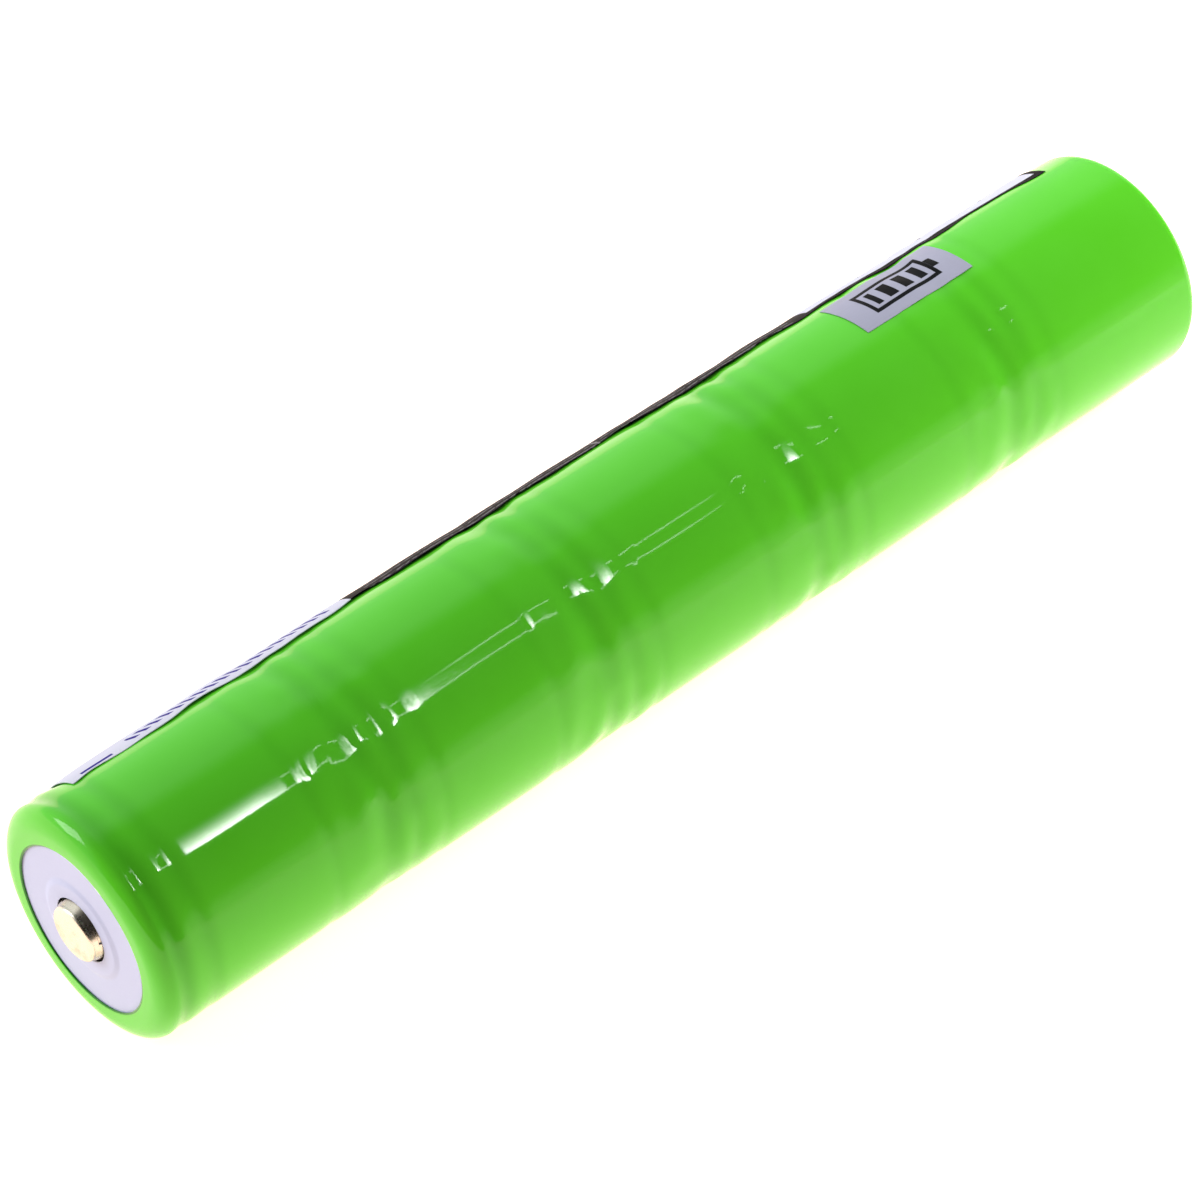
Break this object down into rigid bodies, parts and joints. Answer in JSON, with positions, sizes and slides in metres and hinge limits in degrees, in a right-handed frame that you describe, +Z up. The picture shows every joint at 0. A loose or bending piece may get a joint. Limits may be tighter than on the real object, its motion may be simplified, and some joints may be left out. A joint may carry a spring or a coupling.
{
  "type": "battery stick",
  "caption": "Rechargeable battery stick: nickel-metal hydride cells welded in line in a green shrink sleeve, with a button terminal at one end and a flat can base at the other.",
  "frame": {"origin": "on the ground below the middle of the overall box of the stick lying on its side", "axes": "+X along the stick from the positive button to the negative can base, +Z up, so that the long label is on the upper +Y side"},
  "size_m": [0.1858, 0.0333, 0.0333],
  "materials": {
    "sleeve_film": "glossy shrunk PVC film",
    "label_paper": "coated label paper, white and black fields",
    "sticker_foil": "silver-grey foil sticker",
    "can_steel": "nickel-plated deep-drawn steel",
    "button_nickel": "nickel-plated steel with a soft sheen",
    "nickel_strip": "nickel strip with weld marks",
    "washer_paper": "white insulating paper",
    "seal_nylon": "natural nylon",
    "insulator_plastic": "polypropylene sheet",
    "vent_rubber": "moulded rubber",
    "separator_felt": "non-woven polypropylene felt",
    "positive_paste": "pressed nickel hydroxide paste on nickel foam",
    "negative_paste": "pressed metal hydride powder on punched steel"
  },
  "bodies": {
    "root": {"shrink_sleeve": "sleeve_film", "cell_links": "nickel_strip", "long_label": "label_paper", "small_sticker": "sticker_foil", "cell_1_can": "can_steel", "cell_1_negative_electrode": "negative_paste", "cell_1_separator": "separator_felt", "cell_1_positive_electrode": "positive_paste", "cell_1_insulator_discs": "insulator_plastic", "cell_1_positive_tab": "nickel_strip", "cell_1_seal_ring": "seal_nylon", "cell_1_cover_plate": "can_steel", "cell_1_vent_plug": "vent_rubber", "cell_1_button_cap": "button_nickel", "cell_1_white_washer": "washer_paper", "cell_2_can": "can_steel", "cell_2_negative_electrode": "negative_paste", "cell_2_separator": "separator_felt", "cell_2_positive_electrode": "positive_paste", "cell_2_insulator_discs": "insulator_plastic", "cell_2_positive_tab": "nickel_strip", "cell_2_seal_ring": "seal_nylon", "cell_2_cover_plate": "can_steel", "cell_2_vent_plug": "vent_rubber", "cell_2_button_cap": "button_nickel", "cell_2_white_washer": "washer_paper", "cell_3_can": "can_steel", "cell_3_negative_electrode": "negative_paste", "cell_3_separator": "separator_felt", "cell_3_positive_electrode": "positive_paste", "cell_3_insulator_discs": "insulator_plastic", "cell_3_positive_tab": "nickel_strip", "cell_3_seal_ring": "seal_nylon", "cell_3_cover_plate": "can_steel", "cell_3_vent_plug": "vent_rubber", "cell_3_button_cap": "button_nickel", "cell_3_white_washer": "washer_paper", "cell_4_can": "can_steel", "cell_4_negative_electrode": "negative_paste", "cell_4_separator": "separator_felt", "cell_4_positive_electrode": "positive_paste", "cell_4_insulator_discs": "insulator_plastic", "cell_4_positive_tab": "nickel_strip", "cell_4_seal_ring": "seal_nylon", "cell_4_cover_plate": "can_steel", "cell_4_vent_plug": "vent_rubber", "cell_4_button_cap": "button_nickel", "cell_4_white_washer": "washer_paper", "cell_5_can": "can_steel", "cell_5_negative_electrode": "negative_paste", "cell_5_separator": "separator_felt", "cell_5_positive_electrode": "positive_paste", "cell_5_insulator_discs": "insulator_plastic", "cell_5_positive_tab": "nickel_strip", "cell_5_seal_ring": "seal_nylon", "cell_5_cover_plate": "can_steel", "cell_5_vent_plug": "vent_rubber", "cell_5_button_cap": "button_nickel", "cell_5_white_washer": "washer_paper"}
  },
  "joints": []
}
